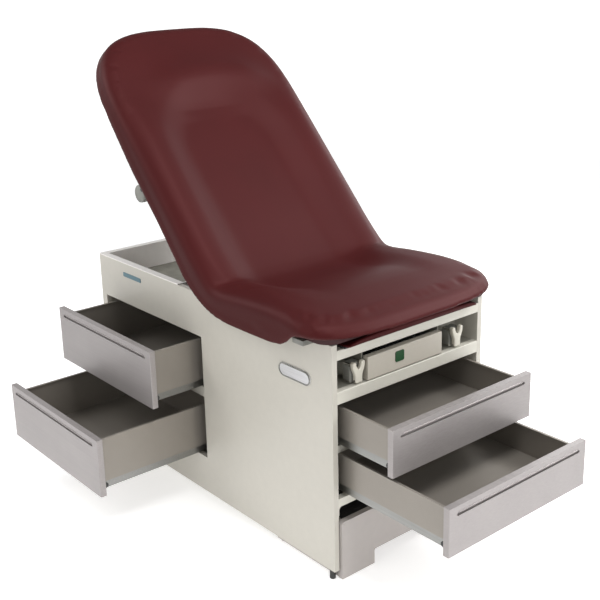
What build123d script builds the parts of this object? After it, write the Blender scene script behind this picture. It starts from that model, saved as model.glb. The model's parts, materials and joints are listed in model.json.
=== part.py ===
from build123d import *
import math
import os

# Examination couch. +X is the foot end, +Y the patient's left, +Z up.
# The origin is on the floor under the centre of the cabinet.

os.makedirs("parts", exist_ok=True)

# Cabinet
half_length = 620
half_width = 305
panel_thickness = 18
panel_bottom = 30
panel_top = 721
rim_top = 724
inner_half = half_width - panel_thickness
head_inner_x = -half_length + panel_thickness
front_inner_x = half_length - 20

# Backrest hinge and resting angle
hinge_x = 84
hinge_z = 709
rest_angle = 47
cushion_top = 96
board_bottom = 17
board_top = 31
roll_radius = 95

# Upholstery
upholstery_half = 370
skirt_thickness = 17.5
board_half = 330
head_end = 994
head_curve_start = 600
head_curve_power = 3.7

# Drawers
front_panel_thickness = 20
front_drawer_height = 137
front_drawer_half = 284
front_drawer_depth = 480
front_upper_bottom = 404.5
front_lower_bottom = 261
front_upper_open = 210
front_lower_open = 408
side_drawer_height = 187
side_drawer_half = 291
side_drawer_depth = 470
side_drawer_centre = -293
side_upper_bottom = 387
side_lower_bottom = 158
side_upper_open = 190
side_lower_open = 391
box_wall = 1.6
runner_bottom = 8
box_bottom = 30

# Step
step_front_x = 630
step_half = 284
step_top = 186
tread_top = 168

# Recess above the front drawers
shelf_top = 581
top_rail_bottom = 673.5
top_rail_top = 703
pan_front_right = -172
pan_front_left = 128
recess_gap = 3
stirrup_y = 202
stirrup_z = 609
cup_pivot_x = 610
cup_pivot_z = 592

# Parts under the seat and the back
seat_board_bottom = 726
lever_up = 436
lever_out = -4
lever_side = 343.5
channel_inner = 246
side_bay_half = 309


def save(part, name):
    """Label a finished piece and write it to its own STEP file."""
    part.label = name
    export_step(part, "parts/" + name + ".step")


cos_back = math.cos(math.radians(rest_angle))
sin_back = math.sin(math.radians(rest_angle))
hinge_point = Vector(hinge_x, 0, hinge_z)

# Face plane of the backrest: local X runs up the back, local Z out of its front.
back_face = Plane(origin=hinge_point, x_dir=(-cos_back, 0, sin_back), z_dir=(sin_back, 0, cos_back))
# Side view of the backrest: local X runs up the back, local Y out of its front.
back_side = Plane(origin=hinge_point, x_dir=(-cos_back, 0, sin_back), z_dir=(0, 1, 0))
# Side view of the cabinet: local X along the couch, local Y up, normal towards -Y.
couch_side = Plane.XZ


# ---------------------------------------------------------------- cabinet

# Side panel with the bay for the two side drawers
with BuildPart() as side_panel_right:
    with BuildSketch(couch_side.offset(inner_half)):
        with Locations(((head_inner_x + half_length) / 2, (panel_bottom + panel_top) / 2)):
            Rectangle(half_length - head_inner_x, panel_top - panel_bottom)
        with Locations((side_drawer_centre, (156 + 577) / 2)):
            RectangleRounded(587, 577 - 156, 3, mode=Mode.SUBTRACT)
    extrude(amount=panel_thickness)
save(side_panel_right.part, "side_panel_right")

# Plain side panel on the patient's left
with BuildPart() as side_panel_left:
    with BuildSketch(couch_side.offset(-half_width)):
        with Locations(((head_inner_x + half_length) / 2, (panel_bottom + panel_top) / 2)):
            Rectangle(half_length - head_inner_x, panel_top - panel_bottom)
    extrude(amount=panel_thickness)
save(side_panel_left.part, "side_panel_left")

# Head-end panel, across both side panels
with BuildPart() as head_panel:
    with Locations((-half_length + panel_thickness / 2, 0, (panel_bottom + panel_top) / 2)):
        Box(panel_thickness, 2 * half_width, panel_top - panel_bottom)
    head_edges = head_panel.edges().filter_by(Axis.Z).group_by(Axis.X)[0]
    fillet(head_edges, 4)
save(head_panel.part, "head_panel")

# Recessed top under the backrest: rim, walls and floor in one pressing
with BuildPart() as top_tray:
    with Locations((-370, 0, (panel_top + rim_top) / 2)):
        Box(500, 2 * half_width, rim_top - panel_top)
    with Locations((-359, 0, (632.5 + rim_top) / 2)):
        Box(474, 566, rim_top - 632.5)
    with Locations((-359, 0, 635 + 60)):
        Box(469, 561, 120, mode=Mode.SUBTRACT)
    tray_corners = top_tray.edges().filter_by(Axis.Z).group_by(Axis.X)[0]
    fillet(tray_corners, 4)
save(top_tray.part, "top_tray")

# Grey liner on the floor of the recessed top
with BuildPart() as tray_liner:
    with Locations((-359, 0, 636)):
        Box(462, 554, 2)
    liner_corners = tray_liner.edges().filter_by(Axis.Z)
    fillet(liner_corners, 6)
save(tray_liner.part, "tray_liner")

# Floor behind the step, and the wall between the side and the front drawers' bays
with BuildPart() as inner_walls:
    with Locations(((head_inner_x + 316) / 2, 0, 32.75)):
        Box(316 - head_inner_x, 2 * inner_half, 2.5)
    with Locations((17.25, 0, (34 + 570) / 2)):
        Box(2.5, 2 * inner_half, 570 - 34)
save(inner_walls.part, "inner_walls")

# Rail set back between the side drawers
with BuildPart() as side_drawer_rail:
    with Locations(((head_inner_x + 16) / 2, -273, 370.5)):
        Box(16 - head_inner_x, 16, 35)
save(side_drawer_rail.part, "side_drawer_rail")

# Top rail of the front
with BuildPart() as top_rail:
    with Locations((half_length - 10, 0, (top_rail_bottom + top_rail_top) / 2)):
        Box(20, 2 * inner_half, top_rail_top - top_rail_bottom)
    rail_edges = top_rail.edges().filter_by(Axis.Y).group_by(Axis.X)[-1]
    fillet(rail_edges, 2.5)
save(top_rail.part, "top_rail")

# Rail under the pan and stirrups
with BuildPart() as pan_rail:
    with Locations((half_length - 10, 0, (544 + shelf_top) / 2)):
        Box(20, 2 * inner_half, shelf_top - 544)
    pan_rail_edges = pan_rail.edges().filter_by(Axis.Y).group_by(Axis.X)[-1]
    fillet(pan_rail_edges, 2.5)
save(pan_rail.part, "pan_rail")

# Rail set back between the front drawers
with BuildPart() as front_drawer_rail:
    with Locations((587, 0, 395)):
        Box(18, 2 * inner_half, 22)
save(front_drawer_rail.part, "front_drawer_rail")

# Rail over the step, with rounded inside corners
with BuildPart() as step_rail:
    with BuildSketch(Plane.YZ.offset(front_inner_x)):
        with Locations((0, (205 + 257) / 2)):
            Rectangle(2 * inner_half, 257 - 205)
        with Locations((0, 232 - 60)):
            RectangleRounded(2 * inner_half - 4, 120, 10, mode=Mode.SUBTRACT)
        with Locations((0, 180)):
            Rectangle(2 * inner_half - 4, 54, mode=Mode.SUBTRACT)
    extrude(amount=20)
save(step_rail.part, "step_rail")

# Shelf over the front drawers, with two low rails that the pan slides on
with BuildPart() as front_shelf:
    with Locations(((320 + front_inner_x) / 2, 0, shelf_top - 1.5)):
        Box(front_inner_x - 320, 2 * inner_half, 3)
    with Locations((460, -84, shelf_top + 7.25), (460, 84, shelf_top + 7.25)):
        Box(270, 14, 14.5)
save(front_shelf.part, "front_shelf")

# Stirrup housings: a guide tube for each bar, and the walls of the recess in front of it
with BuildPart() as stirrup_housings:
    for side, pan_edge in ((-1, -pan_front_right), (1, pan_front_left)):
        recess_inner = pan_edge + recess_gap
        with Locations((528, side * (recess_inner + inner_half) / 2, (shelf_top + 700) / 2)):
            Box(4, inner_half - recess_inner, 700 - shelf_top)
        with Locations((565, side * (recess_inner + 1.25), (shelf_top + 700) / 2)):
            Box(70, 2.5, 700 - shelf_top)
        with Locations((363, side * stirrup_y, (shelf_top + 631) / 2)):
            Box(326, 27.4, 631 - shelf_top)
        with Locations((367, side * stirrup_y, stirrup_z)):
            Box(340, 21.4, 37.4, mode=Mode.SUBTRACT)
save(stirrup_housings.part, "stirrup_housings")

# Ledges under the edges of the pull-out leg rest
with BuildPart() as leg_rest_guides:
    for side in (-1, 1):
        with Locations((379, side * 271, 702.5)):
            Box(438, 32, 3)
        with Locations((379, side * 284.5, 710.5)):
            Box(438, 5, 13)
save(leg_rest_guides.part, "leg_rest_guides")

# Packing strips between the side panels and the seat board
with BuildPart() as seat_strips:
    for side in (-1, 1):
        with Locations((356, side * 296, (panel_top + seat_board_bottom) / 2)):
            Box(488, 12, seat_board_bottom - panel_top)
save(seat_strips.part, "seat_strips")

# Square beams across the cabinet: one for the hinge plates, one for the angle locks
with BuildPart() as cross_beams:
    for beam_x, beam_size in ((132, 40), (-99, 36)):
        with BuildSketch(couch_side.offset(inner_half)):
            with Locations((beam_x, 660)):
                RectangleRounded(beam_size, beam_size, 4)
                RectangleRounded(beam_size - 6, beam_size - 6, 2, mode=Mode.SUBTRACT)
        extrude(amount=-2 * inner_half)
save(cross_beams.part, "cross_beams")

# Four hinge plates, a pair round each arm
plate_positions = [side * distance for side in (-1, 1) for distance in (205, 225)]
with BuildPart() as hinge_plates:
    for plate_y in plate_positions:
        with BuildSketch(couch_side.offset(-plate_y - 3)):
            with Locations((88, 676.5)):
                Rectangle(48, 65)
            with Locations((hinge_x, hinge_z)):
                Circle(20)
                Circle(10, mode=Mode.SUBTRACT)
        extrude(amount=6)
save(hinge_plates.part, "hinge_plates")

# Hinge pins, one through each pair of plates
with BuildPart() as hinge_pins:
    for side in (-1, 1):
        with BuildSketch(couch_side.offset(side * 215 - 17)):
            with Locations((hinge_x, hinge_z)):
                Circle(9.99)
        extrude(amount=34)
save(hinge_pins.part, "hinge_pins")

# Angle locks: a web and two cheeks round each locking quadrant
with BuildPart() as angle_locks:
    for side in (-1, 1):
        with Locations((-76, side * 215, 665)):
            Box(10, 28, 50)
        with Locations((-50, side * 204.5, 696), (-50, side * 225.5, 696)):
            Box(44, 7, 48)
save(angle_locks.part, "angle_locks")

# Rails above the edges of the step that keep it level as it slides
with BuildPart() as step_guides:
    for side in (-1, 1):
        with Locations((464, side * (inner_half - 12.5), 179)):
            Box(268, 25, 4)
        with Locations((464, side * (inner_half - 1.5), 191)):
            Box(268, 3, 20)
save(step_guides.part, "step_guides")

# Levelling glides under the corners
with BuildPart() as glides:
    for corner_x in (-600, 600):
        with Locations((corner_x, -295.5, 15), (corner_x, 295.5, 15)):
            Cylinder(9, 30)
    glide_rims = glides.edges().filter_by(GeomType.CIRCLE).group_by(Axis.Z)[0]
    fillet(glide_rims, 2)
save(glides.part, "glides")


def channel(plane, side, wall, length):
    """One fixed drawer channel: a web on the wall and a ledge under the runner."""
    with BuildPart(plane) as rail:
        with Locations((-40 - length / 2, side * (wall - 1), 19)):
            Box(length, 2, 30)
        with Locations((-40 - length / 2, side * (wall + channel_inner) / 2, 5)):
            Box(length, wall - channel_inner, 2)
    return rail.part


def front_plane(bottom, opened=0):
    """Plane at the bottom of a front drawer's face: local X points out of the couch."""
    return Plane(origin=(half_length + opened, 0, bottom), x_dir=(1, 0, 0), z_dir=(0, 0, 1))


def side_plane(bottom, opened=0):
    """Plane at the bottom of a side drawer's face: local X points out of the couch."""
    origin = (side_drawer_centre, -half_width - opened, bottom)
    return Plane(origin=origin, x_dir=(0, -1, 0), z_dir=(0, 0, 1))


channels = []
for side in (-1, 1):
    channels.append(channel(front_plane(front_lower_bottom), side, inner_half, 455))
    channels.append(channel(front_plane(front_upper_bottom), side, inner_half, 455))
    channels.append(channel(side_plane(side_lower_bottom), side, side_bay_half, 440))
    channels.append(channel(side_plane(side_upper_bottom), side, side_bay_half, 440))
save(Compound(children=channels), "drawer_channels")

# Oval plate on the side panel, left blank
with BuildPart() as oval_plate:
    with BuildSketch(couch_side.offset(half_width)):
        with Locations((462, 595)):
            SlotOverall(138, 42)
    extrude(amount=3)
    plate_rim = oval_plate.edges().group_by(Axis.Y)[0]
    fillet(plate_rim, 1.5)
save(oval_plate.part, "oval_plate")

# Narrow strip near the head end, left blank
with BuildPart() as name_strip:
    with BuildSketch(couch_side.offset(half_width)):
        with Locations((-402, 682)):
            RectangleRounded(112, 15, 3)
    extrude(amount=1.5)
save(name_strip.part, "name_strip")

# Pan-head screws of the head panel
with BuildPart() as panel_screws:
    with BuildSketch(Plane.YZ.offset(-half_length)):
        with GridLocations(592, 290, 2, 3):
            with Locations((0, 380)):
                Circle(5)
    extrude(amount=-3)
    screw_rims = panel_screws.edges().filter_by(GeomType.CIRCLE).group_by(Axis.X)[0]
    fillet(screw_rims, 1.2)
save(panel_screws.part, "panel_screws")


# ---------------------------------------------------------------- seat

# Plywood board under the seat cushion
with BuildPart() as seat_board:
    with BuildSketch(Plane.XY.offset(seat_board_bottom)):
        with Locations((370, 0)):
            Rectangle(516, 2 * board_half)
    extrude(amount=14)
    board_corners = seat_board.edges().filter_by(Axis.Z).group_by(Axis.X)[-1]
    fillet(board_corners, 50)
save(seat_board.part, "seat_board")

# Seat cushion: pad, rolled rear end centred on the hinge, and side skirts
with BuildPart() as seat_cushion:
    with BuildSketch(couch_side.offset(-upholstery_half)):
        with Locations((hinge_x, hinge_z)):
            Circle(roll_radius)
            Circle(32, mode=Mode.SUBTRACT)
        with Locations((84, 626)):
            Rectangle(240, 200, mode=Mode.SUBTRACT)
        with Locations((162, 690.3)):
            Rectangle(100, 100, mode=Mode.SUBTRACT)
        with BuildLine():
            Polyline((112, 740.3), (666, 740.3), (674, 750), (674, 784), (625, 804), (400, 806),
                     (152.3, 775), (112, 775), close=True)
        make_face()
    extrude(amount=2 * upholstery_half)
    for side in (-1, 1):
        with Locations((350, side * (upholstery_half - skirt_thickness / 2), 721.5)):
            Box(300, skirt_thickness, 41)
        with Locations((45, side * 215, 760)):
            Box(134, 14, 120, mode=Mode.SUBTRACT)
    with BuildSketch(Plane.XY.offset(690)):
        with Locations((324, 0)):
            RectangleRounded(700, 2 * upholstery_half, 90)
        with Locations((60, 0)):
            Rectangle(200, 2 * upholstery_half)
    extrude(amount=130, mode=Mode.INTERSECT)
save(seat_cushion.part, "seat_cushion")

# Small clips that hold the front corners of the seat board down
with BuildPart() as seat_clips:
    for side in (-1, 1):
        with Locations((526, side * 326, 718.8)):
            Box(44, 38, 13.8)
save(seat_clips.part, "seat_clips")


# ---------------------------------------------------------------- backrest

def head_curve(half, end):
    """Points of the backrest's rounded head end, from one straight side to the other."""
    power = 2 / head_curve_power
    points = [(head_curve_start, -half)]
    for angle in range(-75, 76, 15):
        sine = math.sin(math.radians(angle))
        across = math.copysign(abs(sine) ** power, sine) * half
        along = (end - head_curve_start) * math.cos(math.radians(angle)) ** power
        points.append((head_curve_start + along, across))
    points.append((head_curve_start, half))
    return points


# Plywood board of the backrest
with BuildPart() as back_board:
    with BuildSketch(back_face.offset(board_bottom)):
        with BuildLine():
            Spline(*head_curve(board_half, 975), tangents=[(1, 0), (-1, 0)])
            Polyline((head_curve_start, board_half), (100, board_half), (100, -board_half),
                     (head_curve_start, -board_half))
        make_face()
    extrude(amount=board_top - board_bottom)
save(back_board.part, "back_board")

# Back cushion: its lower end is hollowed to turn on the seat's rolled end
with BuildPart() as back_cushion:
    with BuildSketch(back_side.offset(-upholstery_half)):
        with BuildLine():
            Polyline((50, board_top + 0.3), (head_end, board_top + 0.3), (head_end, cushion_top),
                     (100, cushion_top), (55, 69.3), close=True)
        make_face()
        Circle(roll_radius + 0.4, mode=Mode.SUBTRACT)
    extrude(amount=2 * upholstery_half)
    with BuildSketch(back_face):
        with BuildLine():
            Spline(*head_curve(upholstery_half, head_end), tangents=[(1, 0), (-1, 0)])
            Polyline((head_curve_start, upholstery_half), (40, upholstery_half),
                     (40, -upholstery_half), (head_curve_start, -upholstery_half))
        make_face()
    extrude(amount=120, mode=Mode.INTERSECT)
    with BuildSketch(back_face.offset(board_bottom)):
        with Locations((350, -upholstery_half + skirt_thickness / 2),
                       (350, upholstery_half - skirt_thickness / 2)):
            Rectangle(500, skirt_thickness)
    extrude(amount=board_top - board_bottom + 0.3)
save(back_cushion.part, "back_cushion")

# Steel arms from the hinge, each with a locking quadrant
with BuildPart() as hinge_arms:
    for side in (-1, 1):
        with BuildSketch(back_side.offset(side * 215 - 4)):
            Circle(150)
            Circle(120, mode=Mode.SUBTRACT)
            with BuildLine():
                Polyline((0, 0), (220, 0), (220, -220), (19.2, -219.2), close=True)
            make_face(mode=Mode.INTERSECT)
            Circle(22)
            with Locations((95, 2.5)):
                Rectangle(190, 29)
            Circle(10.05, mode=Mode.SUBTRACT)
        extrude(amount=8)
save(hinge_arms.part, "hinge_arms")

# Two stiffening bars under the back board
with BuildPart(back_face) as back_stiffeners:
    with Locations((440, -150, board_bottom - 12.5), (440, 150, board_bottom - 12.5)):
        Box(440, 18, 25)
save(back_stiffeners.part, "back_stiffeners")

# Brackets with stub axles for the two release levers
with BuildPart() as lever_brackets:
    for side in (-1, 1):
        with BuildSketch(back_side.offset(side * (lever_side - 16) - 2.5)):
            with Locations((lever_up, 0.5)):
                Rectangle(36, 33)
        extrude(amount=5)
        with BuildSketch(back_side.offset(side * (lever_side - 0.5) - 13)):
            with Locations((lever_up, lever_out)):
                Circle(4)
        extrude(amount=26)
        with BuildSketch(back_side.offset(side * (lever_side + 11.9) - 0.8)):
            with Locations((lever_up, lever_out)):
                Circle(7)
        extrude(amount=1.6)
save(lever_brackets.part, "lever_brackets")


def build_lever(name, side):
    """One round release lever that hangs on its stub axle under the edge of the back."""
    with BuildPart() as lever:
        with BuildSketch(back_side.offset(side * lever_side - 10)):
            with Locations((lever_up, lever_out)):
                Circle(11)
            with Locations((lever_up, lever_out - 24)):
                Circle(28)
            with Locations((lever_up, lever_out)):
                Circle(4.05, mode=Mode.SUBTRACT)
        extrude(amount=20)
    save(lever.part, name)


build_lever("release_lever_right", -1)
build_lever("release_lever_left", 1)


# ---------------------------------------------------------------- drawers

def build_drawer(name, plane, half, height, depth, inset):
    """A drawer's front panel with its finger groove, its open box and its two runners."""
    box_half = half - inset
    box_top = height - 16
    box_middle = -front_panel_thickness - depth / 2
    groove_end = half - 33.5
    with BuildPart(plane) as front:
        with Locations((-front_panel_thickness / 2, 0, height / 2)):
            Box(front_panel_thickness, 2 * half, height)
        upright = front.edges().filter_by(Axis.Z)
        fillet(upright, 2)
        with Locations((-3, 0, height - 24)):
            Box(6, 2 * groove_end, 9, mode=Mode.SUBTRACT)
        with Locations((-3, -groove_end, height - 24), (-3, groove_end, height - 24)):
            Cylinder(4.5, 6, rotation=(0, 90, 0), mode=Mode.SUBTRACT)
    save(front.part, name + "_front")
    with BuildPart(plane) as box:
        with Locations((box_middle, 0, (box_bottom + box_top) / 2)):
            Box(depth, 2 * box_half, box_top - box_bottom)
        with Locations((box_middle, 0, box_bottom + box_wall + 150)):
            Box(depth - 2 * box_wall, 2 * (box_half - box_wall), 300, mode=Mode.SUBTRACT)
        with Locations((box_middle, 0, box_top - 1.5)):
            Box(depth, 2 * box_half, 3)
            Box(depth - 16, 2 * box_half - 16, 3, mode=Mode.SUBTRACT)
    save(box.part, name + "_box")
    with BuildPart(plane) as runners:
        for side in (-1, 1):
            with Locations((box_middle, side * (box_half - 0.8), (runner_bottom + box_bottom) / 2)):
                Box(depth - 10, 1.6, box_bottom - runner_bottom)
            with Locations((box_middle, side * (box_half - 6), box_bottom - 0.8)):
                Box(depth - 10, 12, 1.6)
            with Locations((box_middle, side * (box_half - 6), runner_bottom + 0.8)):
                Box(depth - 10, 12, 1.6)
    save(runners.part, name + "_runners")


build_drawer("front_upper", front_plane(front_upper_bottom, front_upper_open), front_drawer_half,
             front_drawer_height, front_drawer_depth, 21.5)
build_drawer("front_lower", front_plane(front_lower_bottom, front_lower_open), front_drawer_half,
             front_drawer_height, front_drawer_depth, 21.5)
build_drawer("side_upper", side_plane(side_upper_bottom, side_upper_open), side_drawer_half,
             side_drawer_height, side_drawer_depth, 32)
build_drawer("side_lower", side_plane(side_lower_bottom, side_lower_open), side_drawer_half,
             side_drawer_height, side_drawer_depth, 32)


# ---------------------------------------------------------------- step

step_rear_x = 330
step_middle_x = (step_rear_x + step_front_x - 18) / 2
step_depth = step_front_x - 18 - step_rear_x

# Front of the step, with an arch between its two feet
with BuildPart() as step_front:
    with BuildSketch(Plane.YZ.offset(step_front_x - 18)):
        with Locations((0, step_top / 2 + 1.5)):
            RectangleRounded(2 * step_half, step_top - 3, 12)
        with Locations((0, 22)):
            Rectangle(2 * step_half, 38)
        with Locations((0, 5)):
            RectangleRounded(314, 90, 5, mode=Mode.SUBTRACT)
    extrude(amount=18)
save(step_front.part, "step_front")

# Platform of the step with its two cheeks and four pads
with BuildPart() as step_body:
    with Locations((step_middle_x, 0, tread_top - 9)):
        Box(step_depth, 2 * step_half - 4, 18)
    with Locations((step_middle_x, -273, 76.5), (step_middle_x, 273, 76.5)):
        Box(step_depth, 18, 147)
    with Locations((step_middle_x, 0, 1.5)):
        with GridLocations(240, 546, 2, 2):
            Cylinder(8, 3)
save(step_body.part, "step_body")

# Ribbed rubber mat on the step
with BuildPart() as step_mat:
    with Locations((478, 0, tread_top + 1)):
        Box(256, 500, 2)
    with Locations((478, 0, tread_top + 2.5)):
        with GridLocations(13, 1, 19, 1):
            Box(6, 490, 1)
save(step_mat.part, "step_mat")


# ---------------------------------------------------------------- leg rest and pan

# Tray of the pull-out leg rest
with BuildPart() as leg_rest_board:
    with Locations((389, 0, 706.5)):
        Box(478, 528, 4)
save(leg_rest_board.part, "leg_rest_board")

# Thin pad of the leg rest with its padded front lip
with BuildPart() as leg_rest_pad:
    with Locations((389, 0, 713.75)):
        Box(478, 528, 10.5)
    with Locations((634, 0, 715)):
        Box(12, 528, 13)
    lip_edges = leg_rest_pad.edges().filter_by(Axis.Y).group_by(Axis.X)[-1]
    fillet(lip_edges, 3)
save(leg_rest_pad.part, "leg_rest_pad")

# Front of the treatment pan, with a finger gap left above it
with BuildPart() as pan_front:
    with Locations((half_length - 10, (pan_front_right + pan_front_left) / 2, (584 + 653) / 2)):
        Box(20, pan_front_left - pan_front_right, 653 - 584)
    pan_edges = pan_front.edges().filter_by(Axis.Y).group_by(Axis.X)[-1]
    fillet(pan_edges, 3)
save(pan_front.part, "pan_front")

# Open steel pan behind it
with BuildPart() as pan_tray:
    with Locations((465, 0, 620)):
        Box(270, 212, 48)
    with Locations((465, 0, 622)):
        Box(267, 209, 49, mode=Mode.SUBTRACT)
save(pan_tray.part, "pan_tray")

# Small square badge on the pan front, left blank
with BuildPart() as pan_badge:
    with BuildSketch(Plane.YZ.offset(half_length)):
        with Locations((-48, 625)):
            RectangleRounded(34, 32, 5)
    extrude(amount=2)
save(pan_badge.part, "pan_badge")


# ---------------------------------------------------------------- stirrups

def build_stirrup(name, side):
    """A stirrup's sliding bar with its head and knuckle, and the forked cup that folds on it."""
    middle = side * stirrup_y
    with BuildPart() as bar:
        with Locations((388.5, middle, stirrup_z)):
            Box(367, 20, 36)
        with Locations((586, middle, 613)):
            Box(28, 42, 56)
        with Locations((607.5, middle, cup_pivot_z)):
            Box(15, 14, 12)
        with Locations((cup_pivot_x, middle, cup_pivot_z)):
            Cylinder(3, 26, rotation=(90, 0, 0))
    save(bar.part, name + "_bar")
    with BuildPart() as cup:
        with BuildSketch(Plane.YZ.offset(cup_pivot_x - 6.5)):
            with Locations((middle, 613)):
                Rectangle(26, 22)
            with Locations((middle - 10.5, 595), (middle + 10.5, 595)):
                Rectangle(5, 19)
            with BuildLine():
                Polyline((middle - 13, 612), (middle - 22, 630), (middle - 22, 648), (middle - 10, 648),
                         (middle - 10, 636), (middle, 624), (middle + 10, 636), (middle + 10, 648),
                         (middle + 22, 648), (middle + 22, 630), (middle + 13, 612), close=True)
            make_face()
        extrude(amount=13)
        with Locations((cup_pivot_x, middle, cup_pivot_z)):
            Cylinder(3.05, 60, rotation=(90, 0, 0), mode=Mode.SUBTRACT)
    save(cup.part, name + "_cup")


build_stirrup("stirrup_right", -1)
build_stirrup("stirrup_left", 1)
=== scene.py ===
import json
import math

import bmesh
import bpy
import numpy as np
from mathutils import Matrix, Vector


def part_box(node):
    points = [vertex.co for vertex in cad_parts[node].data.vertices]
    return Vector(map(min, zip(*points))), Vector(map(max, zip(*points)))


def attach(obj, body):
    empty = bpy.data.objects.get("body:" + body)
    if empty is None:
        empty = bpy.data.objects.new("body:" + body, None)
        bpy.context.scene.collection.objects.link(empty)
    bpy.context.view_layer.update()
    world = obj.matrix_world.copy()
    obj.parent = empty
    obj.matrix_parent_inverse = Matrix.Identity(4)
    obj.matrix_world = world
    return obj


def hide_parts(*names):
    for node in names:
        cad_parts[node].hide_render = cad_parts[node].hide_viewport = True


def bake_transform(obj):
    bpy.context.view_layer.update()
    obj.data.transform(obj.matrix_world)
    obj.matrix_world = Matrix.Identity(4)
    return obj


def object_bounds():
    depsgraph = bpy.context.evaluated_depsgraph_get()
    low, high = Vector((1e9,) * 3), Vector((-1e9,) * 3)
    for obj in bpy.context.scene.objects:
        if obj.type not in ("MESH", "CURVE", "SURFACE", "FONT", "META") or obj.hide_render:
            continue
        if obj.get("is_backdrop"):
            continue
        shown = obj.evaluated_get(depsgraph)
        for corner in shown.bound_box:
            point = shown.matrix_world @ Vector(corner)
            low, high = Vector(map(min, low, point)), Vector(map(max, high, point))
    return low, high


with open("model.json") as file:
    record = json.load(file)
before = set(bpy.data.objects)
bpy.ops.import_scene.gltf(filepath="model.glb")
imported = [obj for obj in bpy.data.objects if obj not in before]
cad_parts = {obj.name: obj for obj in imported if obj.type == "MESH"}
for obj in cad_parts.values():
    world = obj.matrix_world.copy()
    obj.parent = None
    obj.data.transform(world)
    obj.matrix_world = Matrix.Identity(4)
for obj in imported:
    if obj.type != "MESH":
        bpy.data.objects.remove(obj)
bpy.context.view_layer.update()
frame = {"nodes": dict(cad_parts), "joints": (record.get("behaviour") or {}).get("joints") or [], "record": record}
nodes = frame["nodes"]
scene = bpy.context.scene
scene.view_settings.view_transform = "Standard"

# ------------------------------------------------------------------ frame

joint = {j["name"]: j for j in frame["joints"]}
hinge = Vector(joint["backrest_hinge"]["pos_m"])
REST = math.radians(47)
UP_BACK = Vector((-math.cos(REST), 0, math.sin(REST)))
OUT_BACK = Vector((math.sin(REST), 0, math.cos(REST)))


def on_back(d, y, n):
    """Point d up the backrest from the hinge, n out of its front, all in metres."""
    return hinge + UP_BACK * d + OUT_BACK * n + Vector((0, y, 0))


def across_box(node):
    """Lowest corner, highest corner and centre of a CAD node as vectors."""
    a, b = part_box(node)
    a, b = Vector(a), Vector(b)
    return a, b, (a + b) / 2


# ------------------------------------------------------------------ materials

class Tree:
    """Short way to add shader nodes to a material."""

    def __init__(self, name):
        self.material = bpy.data.materials.new(name)
        self.material.use_nodes = True
        self.nodes = self.material.node_tree.nodes
        self.links = self.material.node_tree.links
        self.shader = self.nodes["Principled BSDF"]
        self.coords = self.nodes.new("ShaderNodeTexCoord").outputs["Object"]

    def link(self, a, b):
        self.links.new(a, b)

    def scaled(self, scale):
        node = self.nodes.new("ShaderNodeMapping")
        node.inputs["Scale"].default_value = scale
        self.link(self.coords, node.inputs["Vector"])
        return node.outputs["Vector"]

    def noise(self, scale, detail=3.0, rough=0.5, stretch=None):
        node = self.nodes.new("ShaderNodeTexNoise")
        node.inputs["Scale"].default_value = scale
        node.inputs["Detail"].default_value = detail
        node.inputs["Roughness"].default_value = rough
        self.link(self.scaled(stretch) if stretch else self.coords, node.inputs["Vector"])
        return node.outputs["Fac"]

    def cells(self, scale, feature="F1"):
        node = self.nodes.new("ShaderNodeTexVoronoi")
        node.feature = feature
        node.inputs["Scale"].default_value = scale
        self.link(self.coords, node.inputs["Vector"])
        return node.outputs["Distance"]

    def ramp(self, value, stops):
        node = self.nodes.new("ShaderNodeValToRGB")
        elements = node.color_ramp.elements
        while len(elements) < len(stops):
            elements.new(0.5)
        for element, (place, colour) in zip(elements, stops):
            element.position = place
            element.color = (*colour, 1) if len(colour) == 3 else colour
        self.link(value, node.inputs["Fac"])
        return node.outputs["Color"]

    def span(self, value, low, high, from_low=0.0, from_high=1.0):
        node = self.nodes.new("ShaderNodeMapRange")
        node.inputs["From Min"].default_value = from_low
        node.inputs["From Max"].default_value = from_high
        node.inputs["To Min"].default_value = low
        node.inputs["To Max"].default_value = high
        self.link(value, node.inputs["Value"])
        return node.outputs["Result"]

    def math(self, operation, a, b):
        node = self.nodes.new("ShaderNodeMath")
        node.operation = operation
        for socket, value in zip(node.inputs, (a, b)):
            if isinstance(value, (int, float)):
                socket.default_value = value
            else:
                self.link(value, socket)
        return node.outputs[0]

    def mix(self, factor, a, b, kind="MIX"):
        node = self.nodes.new("ShaderNodeMix")
        node.data_type = "RGBA"
        node.blend_type = kind
        for socket, value in ((node.inputs[0], factor), (node.inputs[6], a), (node.inputs[7], b)):
            if isinstance(value, (int, float)):
                socket.default_value = value
            elif isinstance(value, tuple):
                socket.default_value = (*value, 1)
            else:
                self.link(value, socket)
        return node.outputs[2]

    def bump(self, height, strength, distance):
        node = self.nodes.new("ShaderNodeBump")
        node.inputs["Strength"].default_value = strength
        node.inputs["Distance"].default_value = distance
        self.link(height, node.inputs["Height"])
        previous = self.shader.inputs["Normal"]
        if previous.is_linked:
            self.link(previous.links[0].from_socket, node.inputs["Normal"])
        self.link(node.outputs["Normal"], previous)

    def set(self, **values):
        for name, value in values.items():
            self.shader.inputs[name.replace("_", " ")].default_value = value


def tint(colour, amount):
    return tuple(max(0.0, min(1.0, c * amount)) for c in colour)


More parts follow.
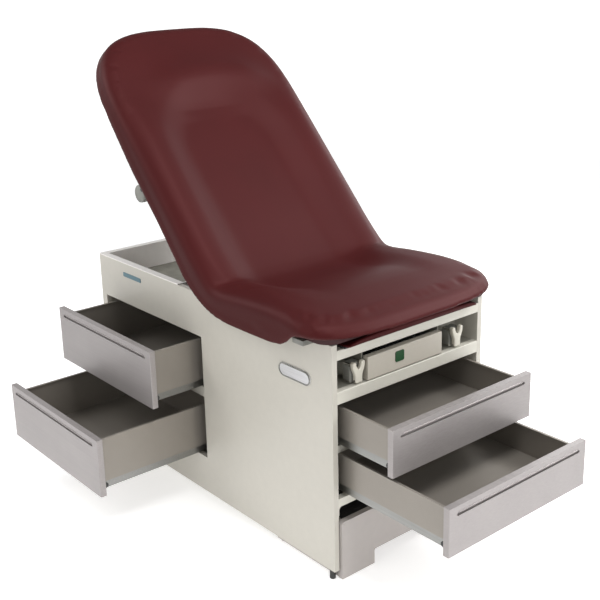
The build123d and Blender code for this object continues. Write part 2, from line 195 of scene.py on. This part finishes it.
def painted(name, colour, rough=0.42, mottle=0.05, peel=0.25, metallic=0.0):
    """Sprayed or moulded coating: faint mottling, orange peel and uneven gloss."""
    t = Tree(name)
    t.set(Metallic=metallic)
    broad = t.noise(3.5, 4)
    fine = t.noise(45, 3)
    base = t.ramp(broad, [(0.25, tint(colour, 1 - mottle)), (0.75, tint(colour, 1 + mottle))])
    dust = t.ramp(fine, [(0.3, (0.97, 0.97, 0.97)), (0.7, (1, 1, 1))])
    t.link(t.mix(1.0, base, dust, "MULTIPLY"), t.shader.inputs["Base Color"])
    t.link(t.span(fine, rough - 0.05, rough + 0.07), t.shader.inputs["Roughness"])
    t.bump(t.noise(650, 2), peel, 0.0001)
    return t.material


def brushed(name, colour, stretch, rough=0.3, metallic=1.0, depth=0.2):
    """Brushed or rolled metal with its grain along the short side of stretch."""
    t = Tree(name)
    t.set(Metallic=metallic)
    grain = t.noise(1.0, 6, 0.65, stretch)
    cloud = t.noise(6, 3)
    base = t.ramp(grain, [(0.25, tint(colour, 0.86)), (0.75, tint(colour, 1.1))])
    shade = t.ramp(cloud, [(0.3, (0.93, 0.93, 0.93)), (0.7, (1, 1, 1))])
    t.link(t.mix(1.0, base, shade, "MULTIPLY"), t.shader.inputs["Base Color"])
    t.link(t.span(grain, rough - 0.08, rough + 0.12), t.shader.inputs["Roughness"])
    t.bump(grain, depth, 0.0001)
    return t.material


def rubber(name, colour, rough=0.75):
    """Rubber or matt plastic with a fine pebbled surface."""
    t = Tree(name)
    speck = t.cells(900)
    worn = t.noise(20, 4)
    base = t.ramp(worn, [(0.3, tint(colour, 0.8)), (0.75, tint(colour, 1.35))])
    t.link(base, t.shader.inputs["Base Color"])
    t.link(t.span(worn, rough - 0.1, rough + 0.1), t.shader.inputs["Roughness"])
    t.bump(speck, 0.3, 0.0002)
    return t.material


def vinyl(name, colour):
    """Upholstery vinyl: pressed leather grain, a fine pebble and faint broad mottling."""
    t = Tree(name)
    t.set(Specular_IOR_Level=0.28, Specular_Tint=(1, 0.5, 0.5, 1))
    grain = t.cells(520, "DISTANCE_TO_EDGE")
    pebble = t.noise(300, 3, 0.55)
    broad = t.noise(4.0, 4)
    base = t.ramp(broad, [(0.25, tint(colour, 0.92)), (0.75, tint(colour, 1.08))])
    creases = t.ramp(grain, [(0.0, (0.82, 0.8, 0.8)), (0.09, (1, 1, 1))])
    t.link(t.mix(1.0, base, creases, "MULTIPLY"), t.shader.inputs["Base Color"])
    t.link(t.span(pebble, 0.48, 0.60), t.shader.inputs["Roughness"])
    t.bump(pebble, 0.25, 0.0003)
    t.bump(grain, 0.35, 0.0002)
    return t.material


def wood(name, colour):
    """Plywood: layers seen at the edge and streaky faces."""
    t = Tree(name)
    streak = t.noise(1.0, 6, 0.6, (8, 90, 400))
    base = t.ramp(streak, [(0.3, tint(colour, 0.7)), (0.7, tint(colour, 1.15))])
    t.link(base, t.shader.inputs["Base Color"])
    t.link(t.span(streak, 0.6, 0.8), t.shader.inputs["Roughness"])
    t.bump(streak, 0.3, 0.0003)
    return t.material


MATERIALS = {
    "cabinet_paint": painted("cabinet_paint", (0.56, 0.535, 0.475), rough=0.4, mottle=0.02),
    "step_paint": painted("step_paint", (0.45, 0.415, 0.395), rough=0.4, mottle=0.03),
    "tray_paint": painted("tray_paint", (0.90, 0.875, 0.84), rough=0.45, mottle=0.02),
    "tray_grey": rubber("tray_grey", (0.27, 0.265, 0.225), 0.6),
    "rail_paint": painted("rail_paint", (0.62, 0.60, 0.53), rough=0.38, mottle=0.02),
    "inner_steel": painted("inner_steel", (0.30, 0.29, 0.25), rough=0.5, mottle=0.05),
    "frame_steel": painted("frame_steel", (0.045, 0.045, 0.047), rough=0.45, mottle=0.1),
    "zinc_steel": brushed("zinc_steel", (0.30, 0.30, 0.29), (4, 220, 220), rough=0.32),
    "black_plastic": rubber("black_plastic", (0.02, 0.02, 0.02), 0.5),
    "plate_metal": brushed("plate_metal", (0.72, 0.72, 0.73), (10, 200, 900), rough=0.35),
    "strip_plastic": painted("strip_plastic", (0.075, 0.175, 0.215), rough=0.3),
    "badge_plastic": painted("badge_plastic", (0.02, 0.075, 0.03), rough=0.22, mottle=0.1),
    "board_paint": wood("board_paint", (0.040, 0.006, 0.007)),
    "upholstery": vinyl("upholstery", (0.048, 0.0054, 0.0057)),
    "cushion_foam": vinyl("cushion_foam", (0.048, 0.0054, 0.0057)),
    "grey_plastic": rubber("grey_plastic", (0.215, 0.215, 0.195), 0.45),
    "pan_paint": painted("pan_paint", (0.50, 0.465, 0.40), rough=0.38, mottle=0.03),
    "stainless": brushed("stainless", (0.6, 0.6, 0.6), (6, 300, 300), rough=0.25),
    "stirrup_bar_steel": brushed("stirrup_bar_steel", (0.62, 0.62, 0.6), (5, 300, 300), rough=0.2),
    "cream_plastic": painted("cream_plastic", (0.66, 0.63, 0.54), rough=0.35, mottle=0.03),
    "drawer_front_paint": brushed("drawer_front_paint", (0.36, 0.333, 0.328), (3, 60, 700),
                                  rough=0.40, metallic=0.45, depth=0.08),
    "drawer_box_steel": painted("drawer_box_steel", (0.275, 0.25, 0.22), rough=0.36, mottle=0.04,
                                metallic=0.4),
    "step_rubber": rubber("step_rubber", (0.03, 0.03, 0.03)),
}

for entry in frame["record"]["subparts"]:
    slots = nodes[entry["node"]].data.materials
    slots.clear()
    slots.append(MATERIALS[entry["material_slot"]])


# ------------------------------------------------------------------ mesh helpers

def make(name, verts, faces, slot, smooth=True, body=None):
    """New mesh object with its material; rides on body when one is given."""
    mesh = bpy.data.meshes.new(name)
    mesh.from_pydata([tuple(v) for v in verts], [], [tuple(int(i) for i in f) for f in faces])
    mesh.validate()
    mesh.update()
    obj = bpy.data.objects.new(name, mesh)
    scene.collection.objects.link(obj)
    mesh.materials.append(MATERIALS[slot])
    if smooth:
        mesh.shade_smooth()
    if body:
        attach(obj, body)
    return obj


def apply_modifiers(obj):
    """Replace an object's mesh with its evaluated one and drop the modifiers."""
    graph = bpy.context.evaluated_depsgraph_get()
    mesh = bpy.data.meshes.new_from_object(obj.evaluated_get(graph))
    old = obj.data
    obj.modifiers.clear()
    obj.data = mesh
    bpy.data.meshes.remove(old)
    mesh.shade_smooth()


def loft(rings, close_ends=True):
    """Faces that join equal-sized closed rings of points."""
    count = len(rings[0])
    verts = [p for ring in rings for p in ring]
    faces = []
    for i in range(len(rings) - 1):
        for k in range(count):
            a, b = i * count + k, i * count + (k + 1) % count
            faces.append((a, b, b + count, a + count))
    if close_ends:
        faces.append(tuple(range(count - 1, -1, -1)))
        faces.append(tuple(range((len(rings) - 1) * count, len(rings) * count)))
    return verts, faces


# ------------------------------------------------------------------ upholstery

_, seat_high, _ = across_box("seat_cushion")
HALF = seat_high.y      # half width of the upholstery
EDGE = 0.030            # rounding of its top edge
BACK_LENGTH = 1.003     # from the hinge to the end of the head
HEAD_LENGTH = 0.393     # length of the head's curved outline
HEAD_POWER = 3.3        # how square that outline is
FRONT_LENGTH = 0.174    # the same for the front of the seat
FRONT_POWER = 3.4
SKIRT = 0.013           # thickness of the side skirt
VOXEL = 0.006           # size of the quads of the even mesh
PUFF_LIMIT = 0.0045     # the furthest that the cloth may swell
PUFF_FRAMES = 20


def smooth(x, low, high):
    t = np.clip((x - low) / (high - low), 0, 1)
    return t * t * (3 - 2 * t)


def back_xz(d, n):
    p = on_back(d / 1000, 0, n / 1000)
    return (p.x, p.z)


# Stations from the head to the foot: top, underside and lower edge of the skirt. Those of the
# seat are in millimetres from the front and the highest point of the CAD cushion.
key = []
for d in (1000, 900, 800, 700, 600, 500, 400, 320, 250, 200, 165):
    lower = (17 - 12 * float(smooth(np.array(-d), -680, -520))
             - 5 * float(smooth(np.array(-d), -300, -160)))
    key.append((back_xz(d, 95), back_xz(d, 32.5), back_xz(d, lower)))
for top, under, low in (
    ((-614, 68), (-654, 18), (-676, -9)),
    ((-588, 42), (-629, -9), (-644, -38)),
    ((-562, 17), (-606, -31), (-612, -62)),
    ((-537, -5), (-582, -49), (-579, -81)),
    ((-515, -18), (-552, -60), (-544, -96)),
    ((-489, -22), (-512, -64), (-502, -107)),
    ((-444, -20), (-452, -64), (-448, -112)),
    ((-374, -14), (-374, -64), (-374, -114)),
    ((-294, -10), (-294, -64), (-294, -113)),
    ((-234, -9), (-234, -64), (-234, -111)),
    ((-199, -10), (-199, -64), (-199, -106)),
    ((-174, -11), (-174, -64), (-174, -92)),
    ((-149, -13), (-149, -64), (-152, -73)),
    ((-114, -16), (-114, -64), (-116, -64)),
    ((-74, -19), (-74, -63), (-76, -63)),
    ((-34, -25), (-34, -62), (-42, -64)),
    ((0, -32), (0, -59), (-17, -65)),
):
    key.append(tuple((seat_high.x + x / 1000, seat_high.z + z / 1000)
                     for x, z in (top, under, low)))
key = np.array(key)
length = np.concatenate([[0], np.cumsum(np.linalg.norm(np.diff(key[:, 0], axis=0), axis=1))])


def along(values, at):
    """Smooth curve through the key stations (finite-difference Hermite)."""
    slopes = np.gradient(values, length, axis=0)
    i = np.clip(np.searchsorted(length, at) - 1, 0, len(length) - 2)
    h = length[i + 1] - length[i]
    t = (at - length[i]) / h
    shape = (-1,) + (1,) * (values.ndim - 1)
    t, h = t.reshape(shape), h.reshape(shape)
    return ((2 * t**3 - 3 * t**2 + 1) * values[i] + (t**3 - 2 * t**2 + t) * h * slopes[i]
            + (-2 * t**3 + 3 * t**2) * values[i + 1] + (t**3 - t**2) * h * slopes[i + 1])


total = length[-1]
theta = np.linspace(0, math.pi / 2, 56)
head_at = HEAD_LENGTH - HEAD_LENGTH * np.cos(theta) ** (2 / HEAD_POWER)
head_half = HALF * np.sin(theta) ** (2 / HEAD_POWER)
phi = np.linspace(math.pi / 2, 0, 44)
front_at = total - FRONT_LENGTH + FRONT_LENGTH * np.cos(phi) ** (2 / FRONT_POWER)
front_half = HALF * np.sin(phi) ** (2 / FRONT_POWER)
middle_at = np.linspace(HEAD_LENGTH, total - FRONT_LENGTH, 130)[1:-1]
station = np.concatenate([head_at, middle_at, front_at])
half = np.concatenate([head_half, np.full(len(middle_at), HALF), front_half])
half = np.maximum(half, 0.0005)
rim = np.concatenate([np.stack([station, half], 1), np.stack([station, -half], 1)[::-1]])
rim = np.concatenate([rim, rim[:1]])
walk = np.concatenate([[0], np.cumsum(np.linalg.norm(np.diff(rim, axis=0), axis=1))])
even = np.arange(0, walk[-1], 0.003)
outline = np.stack([np.interp(even, walk, rim[:, 0]), np.interp(even, walk, rim[:, 1])], 1)

top = along(key[:, 0], station)
under = along(key[:, 1], station)
skirt = along(key[:, 2], station)
inner_station = np.clip(station, SKIRT, total - 0.006)
inner_top = along(key[:, 1], inner_station)
inner_half = np.maximum(half - SKIRT, 0.0003)
up = top - under
height = np.linalg.norm(up, axis=1)
up = up / height[:, None]


def back_at(s):
    """Distance up the back from the hinge for a station on the back."""
    return BACK_LENGTH - s


crease_s = float(length[15])


def sculpt(s, y):
    """Height added to the plain pad: dish, side bolsters, head pillow and seat."""
    d = back_at(s)
    a = np.abs(y)
    seat_s = s - crease_s
    reach = ((np.maximum(d - 0.44, 0) / 0.262) ** 2.7
             + (np.abs(y + 0.008) / 0.208) ** 2.7) ** (1 / 2.7)
    inside = 1 - smooth(reach, 0.74, 1.26)
    seat_fade = 1 - smooth(seat_s, 0.10, 0.42)
    dish = -0.028 * inside * seat_fade
    on_the_back = (1 - smooth(d, 0.54, 0.76)) * (1 - smooth(seat_s, 0.0, 0.3))
    bolster = 0.012 * np.exp(-((a - 0.295) / 0.055) ** 2) * on_the_back
    arch = 0.785 - 0.045 * ((y - 0.03) / 0.22) ** 2
    pillow = 0.017 * np.exp(-((d - arch) / 0.065) ** 2) * (1 - smooth(np.abs(y - 0.03), 0.13, 0.29))
    head_fall = -0.005 * smooth(d, 0.84, 0.99)
    seat_crown = 0.019 * np.exp(-((seat_s - 0.26) / 0.15) ** 2) * (1 - (a / HALF) ** 2)
    front_fall = -0.008 * smooth(seat_s, 0.38, 0.50) * (a / HALF) ** 2
    fold = -0.006 * np.exp(-(seat_s / 0.022) ** 2) * smooth(a, 0.20, 0.34)
    return dish + bolster + pillow + head_fall + seat_crown + front_fall + fold


t = np.linspace(-1, 1, 75)
v = np.sin(t * math.pi / 2)
S, V = np.meshgrid(station, v, indexing="ij")
Y = V * half[:, None]
flat = np.stack([S.ravel(), Y.ravel()], 1)
distance = np.full(len(flat), 9.0)
for start in range(0, len(flat), 4000):
    block = flat[start:start + 4000]
    gap = np.linalg.norm(block[:, None, :] - outline[None, :, :], axis=2)
    distance[start:start + 4000] = gap.min(axis=1)
distance = distance.reshape(S.shape)
distance[:, 0] = 0
distance[:, -1] = 0
rounding = (EDGE + 0.004 * smooth(back_at(S), 0.70, 0.95)
            + 0.006 * smooth(S, total - 0.16, total - 0.04))
drop = rounding - np.sqrt(
    np.maximum(rounding**2 - (rounding - np.minimum(distance, rounding)) ** 2, 0))
top_height = height[:, None] - drop + sculpt(S, Y) * smooth(distance, 0.0, 0.06)

rings = []
side_steps = 9
for i in range(len(station)):
    ring = []
    base = under[i]
    for k in range(len(v)):
        x, z = base + up[i] * top_height[i, k]
        ring.append((x, Y[i, k], z))
    right_top = base + up[i] * top_height[i, -1]
    for side, edge in ((1, right_top), (-1, base + up[i] * top_height[i, 0])):
        outer_half = max(half[i] - 0.003, inner_half[i] + 0.0002)
        hem = (outer_half - inner_half[i]) / 2
        rise = (edge - skirt[i]) / np.linalg.norm(edge - skirt[i])
        hem_centre = skirt[i] + rise * hem
        wall = []
        for k in range(1, side_steps + 1):
            f = k / side_steps
            x, z = edge * (1 - f) + hem_centre * f
            wall.append((x, side * (half[i] - (half[i] - outer_half) * f * f), z))
        for k in range(1, 6):
            angle = math.pi * k / 6
            x, z = hem_centre - rise * hem * math.sin(angle)
            wall.append((x, side * (inner_half[i] + hem + hem * math.cos(angle)), z))
        inner = []
        for k in range(5):
            f = k / 4
            x, z = hem_centre * (1 - f) + inner_top[i] * f
            inner.append((x, side * inner_half[i], z))
        if side == 1:
            ring += wall + inner
            floor = []
            for k in range(1, 16):
                f = 1 - 2 * k / 16
                floor.append((inner_top[i][0], inner_half[i] * f, inner_top[i][1]))
            ring += floor
        else:
            ring += inner[::-1] + wall[::-1]
    rings.append(ring)

verts, faces = loft(rings)
pattern = make("upholstery_pattern", verts, faces, "upholstery")
pad = make("upholstery_cover", verts, faces, "upholstery")
remesh = pad.modifiers.new("even", "REMESH")
remesh.mode = "VOXEL"
remesh.voxel_size = VOXEL
remesh.use_smooth_shade = True
onto_pattern = pad.modifiers.new("onto_pattern", "SHRINKWRAP")
onto_pattern.wrap_method = "NEAREST_SURFACEPOINT"
onto_pattern.target = pattern
apply_modifiers(pad)
bpy.data.meshes.remove(pattern.data)

rest_co = np.empty(len(pad.data.vertices) * 3)
pad.data.vertices.foreach_get("co", rest_co)
rest_co = rest_co.reshape(-1, 3)
held = pad.vertex_groups.new(name="held")
tucked = []
for index, (x, y, z) in enumerate(rest_co):
    gap = np.min(np.hypot(under[:, 0] - x, under[:, 1] - z))
    low = np.min(np.hypot(skirt[:, 0] - x, skirt[:, 1] - z))
    if (gap < 0.008 and abs(y) < HALF - 0.02) or low < 0.012:
        tucked.append(index)
held.add(tucked, 1.0, "REPLACE")
cloth = pad.modifiers.new("puff", "CLOTH")
cloth.settings.quality = 5
cloth.settings.mass = 0.3
cloth.settings.tension_stiffness = 25
cloth.settings.compression_stiffness = 25
cloth.settings.shear_stiffness = 12
cloth.settings.bending_stiffness = 4
cloth.settings.use_pressure = True
cloth.settings.uniform_pressure_force = 4
cloth.settings.vertex_group_mass = "held"
cloth.settings.effector_weights.gravity = 0
cloth.collision_settings.use_collision = False
cloth.point_cache.frame_start = 1
cloth.point_cache.frame_end = PUFF_FRAMES
for number in range(1, PUFF_FRAMES + 1):
    scene.frame_set(number)
apply_modifiers(pad)
scene.frame_set(1)
co = np.empty(len(pad.data.vertices) * 3)
pad.data.vertices.foreach_get("co", co)
co = co.reshape(-1, 3)
move = co - rest_co
size = np.linalg.norm(move, axis=1)
capped = move * np.minimum(1.0, PUFF_LIMIT / np.maximum(size, 1e-9))[:, None]
pad.data.vertices.foreach_set("co", (rest_co + capped).ravel())
pad.vertex_groups.clear()

settle = pad.modifiers.new("settle", "SMOOTH")
settle.factor = 0.5
settle.iterations = 8
apply_modifiers(pad)
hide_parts("seat_cushion", "back_cushion")
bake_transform(pad)


# ------------------------------------------------------------------ small pieces

def turned(name, profile, centre, axis, slot, body, sides=40):
    """Solid of revolution: profile holds (radius, distance along the axis) pairs."""
    turn = Vector(axis).to_track_quat("Z", "Y")
    rings = []
    for radius, along_axis in profile:
        ring = []
        for k in range(sides):
            angle = 2 * math.pi * k / sides
            offset = Vector((radius * math.cos(angle), radius * math.sin(angle), along_axis))
            ring.append(Vector(centre) + turn @ offset)
        rings.append(ring)
    verts, faces = loft(rings)
    return make(name, verts, faces, slot, body=body)


def rounded_profile(radius, thickness, edge, dish=0.0):
    """Profile of a disc with rounded rims, and a shallow dish in its front."""
    points = [(radius * 0.02, 0.0), (radius - edge, 0.0)]
    for k in range(1, 6):
        angle = math.pi / 2 * k / 6
        points.append((radius - edge + edge * math.sin(angle), edge - edge * math.cos(angle)))
    points += [(radius, edge), (radius, thickness - edge)]
    for k in range(1, 6):
        angle = math.pi / 2 * k / 6
        points.append((radius - edge + edge * math.cos(angle),
                       thickness - edge + edge * math.sin(angle)))
    floor_of_dish = thickness - dish
    points += [(radius - edge, thickness),
               (radius - edge - 0.0015, floor_of_dish),
               (radius * 0.02, floor_of_dish)]
    return points


def tube(name, path, radius, slot, body, closed=False, sides=12, squash=1.0):
    """Round bead along a path; squash flattens it across X and Y against Z."""
    path = [Vector(p) for p in path]
    rings = []
    count = len(path)
    for i, point in enumerate(path):
        before = path[i - 1] if closed or i else path[i]
        after = path[(i + 1) % count] if closed or i < count - 1 else path[i]
        ahead = (after - before).normalized()
        side = ahead.cross(Vector((0, 0, 1)))
        if side.length < 0.01:
            side = ahead.cross(Vector((1, 0, 0)))
        side.normalize()
        lift = side.cross(ahead).normalized()
        size = radius if closed or 0 < i < count - 1 else radius * 0.55
        rings.append([point + side * math.cos(2 * math.pi * k / sides) * size * squash
                      + lift * math.sin(2 * math.pi * k / sides) * size for k in range(sides)])
    if closed:
        rings.append(rings[0])
    verts, faces = loft(rings, close_ends=not closed)
    return make(name, verts, faces, slot, body=body)


def plate(name, outline_yz, x_low, x_high, bevel, slot, body):
    """Flat moulding facing +X with rounded edges."""
    count = len(outline_yz)
    verts = [(x_low, y, z) for y, z in outline_yz] + [(x_high, y, z) for y, z in outline_yz]
    faces = [tuple(range(count - 1, -1, -1)), tuple(range(count, 2 * count))]
    for k in range(count):
        n = (k + 1) % count
        faces.append((k, n, count + n, count + k))
    obj = make(name, verts, faces, slot, smooth=False)
    round_edges = obj.modifiers.new("round", "BEVEL")
    round_edges.width = bevel
    round_edges.segments = 4
    round_edges.limit_method = "ANGLE"
    round_edges.angle_limit = math.radians(40)
    apply_modifiers(obj)
    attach(obj, body)
    return obj


def soft_corner(points, radius, steps=4):
    """Outline with each corner replaced by a short curve."""
    out = []
    count = len(points)
    for i in range(count):
        p = Vector((*points[i], 0))
        a = Vector((*points[i - 1], 0))
        b = Vector((*points[(i + 1) % count], 0))
        ra = min(radius, (a - p).length * 0.45)
        rb = min(radius, (b - p).length * 0.45)
        start = p + (a - p).normalized() * ra
        end = p + (b - p).normalized() * rb
        for k in range(steps + 1):
            t = k / steps
            q = start * (1 - t) ** 2 + p * 2 * t * (1 - t) + end * t**2
            out.append((q.x, q.y))
    return out


# Stirrup cups and the moulded heads behind them
for side in ("right", "left"):
    low, high, middle = across_box("stirrup_%s_cup" % side)
    cup_outline = [(-13, 0), (-13, 24), (-22, 44), (-23, 62.5), (-10, 62.5), (-9, 50), (0, 38),
                   (9, 50), (10, 62.5), (23, 62.5), (22, 44), (13, 24), (13, 0)]
    outline_yz = soft_corner([(middle.y + a / 1000, low.z + b / 1000) for a, b in cup_outline],
                             0.006)
    cup = plate("stirrup_%s_cup_moulding" % side, outline_yz, low.x - 0.0004, high.x + 0.0006,
                0.0032, "cream_plastic", "cup_" + side)
    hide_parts("stirrup_%s_cup" % side)
    low, high, middle = across_box("stirrup_%s_bar" % side)
    low_y, high_y = low.y - 0.0006, high.y + 0.0006
    low_z, high_z = low.z - 0.0002, high.z + 0.0006
    head_outline = soft_corner(
        [(low_y, low_z), (low_y, high_z), (high_y, high_z), (high_y, low_z)], 0.010)
    plate("stirrup_%s_head_moulding" % side, head_outline, high.x - 0.0438, high.x - 0.0144, 0.003,
          "grey_plastic", "stirrup_" + side)

# Rounded faces of the two release knobs
for side, sign in (("right", -1), ("left", 1)):
    low, high, middle = across_box("release_lever_" + side)
    inner = (high.y if sign < 0 else low.y) - sign * 0.0005
    turned("release_knob_" + side, rounded_profile(0.0288, 0.0215, 0.005, 0.0012),
           (middle.x, inner, middle.z), (0, sign, 0), "grey_plastic", "lever_" + side)

DRAWERS = ("front_upper", "front_lower", "side_upper", "side_lower")

# Rollers of the drawer runners, one at the front of each
for drawer in DRAWERS:
    low, high, _ = across_box(drawer + "_runners")
    along_x = drawer.startswith("front")
    for side in (-1, 1):
        if along_x:
            place = (high.x - 0.010, (high.y if side > 0 else low.y) - side * 0.002, low.z + 0.009)
            axis = (0, side, 0)
        else:
            place = ((high.x if side > 0 else low.x) - side * 0.002, low.y + 0.010, low.z + 0.009)
            axis = (side, 0, 0)
        turned("%s_roller_%s" % (drawer, "left" if side > 0 else "right"),
               rounded_profile(0.0085, 0.006, 0.0015, 0.0006), place, axis, "black_plastic",
               "drawer_" + drawer, sides=28)

# Lip over the finger groove of each drawer front
LIP_INSET = 0.034       # from each end of the drawer front to the end of its groove
for drawer in DRAWERS:
    low, high, _ = across_box(drawer + "_front")
    z = high.z - 0.0185
    lip_path = []
    for t in (0, 0.02, 0.5, 0.98, 1):
        if drawer.startswith("front"):
            run = high.y - low.y - 2 * LIP_INSET
            lip_path.append((high.x - 0.0004, low.y + LIP_INSET + run * t, z))
        else:
            run = high.x - low.x - 2 * LIP_INSET
            lip_path.append((low.x + LIP_INSET + run * t, low.y + 0.0004, z))
    tube(drawer + "_groove_lip", lip_path, 0.0022, "drawer_front_paint", "drawer_" + drawer)

# Raised rim of the oval plate
low, high, middle = across_box("oval_plate")
rim_path = []
straight = (high.x - low.x) / 2 - (high.z - low.z) / 2
curve = (high.z - low.z) / 2 - 0.0025
for k in range(48):
    angle = 2 * math.pi * k / 48
    rim_path.append((middle.x + math.copysign(straight, math.cos(angle)) + curve * math.cos(angle),
                     low.y, middle.z + curve * math.sin(angle)))
tube("oval_plate_rim", rim_path, 0.0022, "grey_plastic", "cabinet", closed=True)

# Cross slots in the screws of the head panel
low, high, middle = across_box("panel_screws")
for row, z in enumerate((low.z + 0.005, middle.z, high.z - 0.005)):
    for column, y in enumerate((low.y + 0.005, high.y - 0.005)):
        for stroke, tilt in enumerate((0.6, 0.6 + math.pi / 2)):
            arm = Vector((0, math.cos(tilt), math.sin(tilt))) * 0.0032
            centre = Vector((low.x + 0.0002, y, z))
            tube("screw_slot_%d_%d_%d" % (row, column, stroke),
                 [centre - arm, centre, centre + arm],
                 0.0007, "black_plastic", "cabinet", sides=8)

# Padded cover of the pull-out leg rest: a flat pad with a rolled lip at its front, in
# millimetres from the lower rear edge of the CAD pad
low, high, _ = across_box("leg_rest_pad")
pad_half = (high.y - low.y) / 2
cover_rings = []
cover_section = [(0, 0), (472, 0), (478, 0), (478.5, 0.7), (484, 0.1), (488.5, 1.3), (490.2, 4.5),
                 (490.2, 13.0), (488.5, 17.1), (484, 18.7), (478.5, 17.7), (470, 10.5), (450, 10.7),
                 (444, 9.3), (438, 10.5), (300, 10.5), (150, 10.5), (20, 10.5), (8, 9.5), (0, 6.5)]
for i in range(61):
    t = -1 + 2 * i / 60
    edge = 1 - 0.75 * abs(t) ** 6
    crown = 0.0012 * (1 - t**4)
    section = []
    for a, b in cover_section:
        rise = b / 1000 * edge + (crown if 10 < b < 12 and a < 475 else 0)
        section.append((low.x + a / 1000, pad_half * t, low.z + rise))
    cover_rings.append(section)
verts, faces = loft(cover_rings)
leg_cover = make("leg_rest_cover", verts, faces, "upholstery", body="leg_rest")
soften = leg_cover.modifiers.new("soften", "SUBSURF")
soften.levels = 1
soften.render_levels = 1
apply_modifiers(leg_cover)
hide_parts("leg_rest_pad")


# ------------------------------------------------------------------ floor, light, camera

def area(name, place, aim, size, power):
    data = bpy.data.lights.new(name, "AREA")
    data.energy = power
    data.shape = "SQUARE"
    data.size = size
    lamp = bpy.data.objects.new(name, data)
    scene.collection.objects.link(lamp)
    lamp.location = place
    lamp.rotation_euler = (Vector(aim) - Vector(place)).to_track_quat("-Z", "Y").to_euler()


world = bpy.data.worlds.new("studio")
scene.world = world
world.use_nodes = True
world.node_tree.nodes["Background"].inputs["Color"].default_value = (1, 1, 1, 1)
world.node_tree.nodes["Background"].inputs["Strength"].default_value = 0.32

area("top_softbox", (1.4, -0.2, 3.6), (0.1, 0, 0.7), 1.3, 58)
area("left_softbox", (-1.5, -1.8, 2.4), (-0.5, 0, 0.7), 1.4, 28)
area("side_softbox", (0.6, -2.9, 1.8), (-0.5, 0, 0.7), 1.6, 13)
area("front_softbox", (3.4, 0.2, 1.6), (0, 0, 0.7), 1.8, 27)
area("far_softbox", (-0.4, 3.0, 1.8), (0, 0, 0.9), 1.7, 23)
area("pillow_softbox", (1.5, 2.0, 2.3), (-0.4, 0, 1.25), 0.8, 43)


def studio_glow(tree, heading, dim, bright, near, far):
    """Emission rising from dim to bright between near and far along a heading, fading high up."""
    place = tree.nodes.new("ShaderNodeSeparateXYZ")
    tree.link(tree.scaled((*heading, 1)), place.inputs["Vector"])
    reach = tree.math("ADD", place.outputs["X"], place.outputs["Y"])
    level = tree.span(reach, 0.0, 1.0, near, far)
    low_down = tree.span(place.outputs["Z"], 1.0, 0.0, 1.8, 5.0)
    strength = tree.span(tree.math("MULTIPLY", level, low_down), dim, bright)
    tree.link(strength, tree.shader.inputs["Emission Strength"])


FLOOR_HALF = 60.0
floor_corners = [(-FLOOR_HALF, -FLOOR_HALF, 0), (FLOOR_HALF, -FLOOR_HALF, 0),
                 (FLOOR_HALF, FLOOR_HALF, 0), (-FLOOR_HALF, FLOOR_HALF, 0)]
floor = make("studio_floor", floor_corners, [(0, 1, 2, 3)], "cabinet_paint", smooth=False)
floor_paint = Tree("studio_floor_paint")
floor_tone = floor_paint.ramp(floor_paint.noise(2.0),
                              [(0.2, (0.9, 0.9, 0.9)), (0.8, (0.93, 0.93, 0.93))])
floor_paint.link(floor_tone, floor_paint.shader.inputs["Base Color"])
floor_paint.set(Roughness=0.85, Specular_IOR_Level=0.1)
studio_glow(floor_paint, (0.44, 1), 0.08, 0.52, -5.0, -0.95)
floor_paint.shader.inputs["Emission Color"].default_value = (1, 1, 1, 1)
floor.data.materials.clear()
floor.data.materials.append(floor_paint.material)
floor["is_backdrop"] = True

# A round white backdrop stands about the couch
BACKDROP_RADIUS, BACKDROP_HEIGHT, BACKDROP_SIDES = 10.0, 6.0, 96
backdrop_verts, backdrop_faces = [], []
for step in range(BACKDROP_SIDES + 1):
    angle = 2 * math.pi * step / BACKDROP_SIDES
    for z in (0.0, BACKDROP_HEIGHT):
        backdrop_verts.append(
            (BACKDROP_RADIUS * math.cos(angle), BACKDROP_RADIUS * math.sin(angle), z))
for step in range(BACKDROP_SIDES):
    a = 2 * step
    backdrop_faces.append((a, a + 2, a + 3, a + 1))
backdrop = make("studio_backdrop", backdrop_verts, backdrop_faces, "cabinet_paint")
backdrop_paint = Tree("studio_backdrop_paint")
backdrop_tone = backdrop_paint.ramp(backdrop_paint.noise(0.5),
                                    [(0.2, (0.98, 0.98, 0.98)), (0.8, (1, 1, 1))])
backdrop_paint.link(backdrop_tone, backdrop_paint.shader.inputs["Emission Color"])
backdrop_paint.set(Base_Color=(0.25, 0.25, 0.25, 1), Roughness=1.0, Specular_IOR_Level=0.0)
studio_glow(backdrop_paint, (-0.77, 0.64), 0.36, 1.0, 4.0, 8.4)
backdrop.data.materials.clear()
backdrop.data.materials.append(backdrop_paint.material)
backdrop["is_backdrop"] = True

AZIMUTH, ELEVATION, ROLL = math.radians(50.32), math.radians(16.49), math.radians(-1.32)
CAMERA_PLACE = (2.5456, -2.0051, 1.7272)
forward = Vector((-math.sin(AZIMUTH) * math.cos(ELEVATION), math.cos(AZIMUTH) * math.cos(ELEVATION),
                  -math.sin(ELEVATION)))
level = Vector((math.cos(AZIMUTH), math.sin(AZIMUTH), 0))
above = level.cross(forward)
right = level * math.cos(ROLL) + above * math.sin(ROLL)
upward = above * math.cos(ROLL) - level * math.sin(ROLL)
camera_data = bpy.data.cameras.new("camera")
camera = bpy.data.objects.new("camera", camera_data)
scene.collection.objects.link(camera)
turn = Matrix((right, upward, -forward)).transposed()
camera.matrix_world = Matrix.Translation(CAMERA_PLACE) @ turn.to_4x4()
camera_data.sensor_width = 36
camera_data.lens = 61.85
camera_data.shift_y = -0.0687
camera_data.clip_end = 60
scene.camera = camera

low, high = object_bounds()
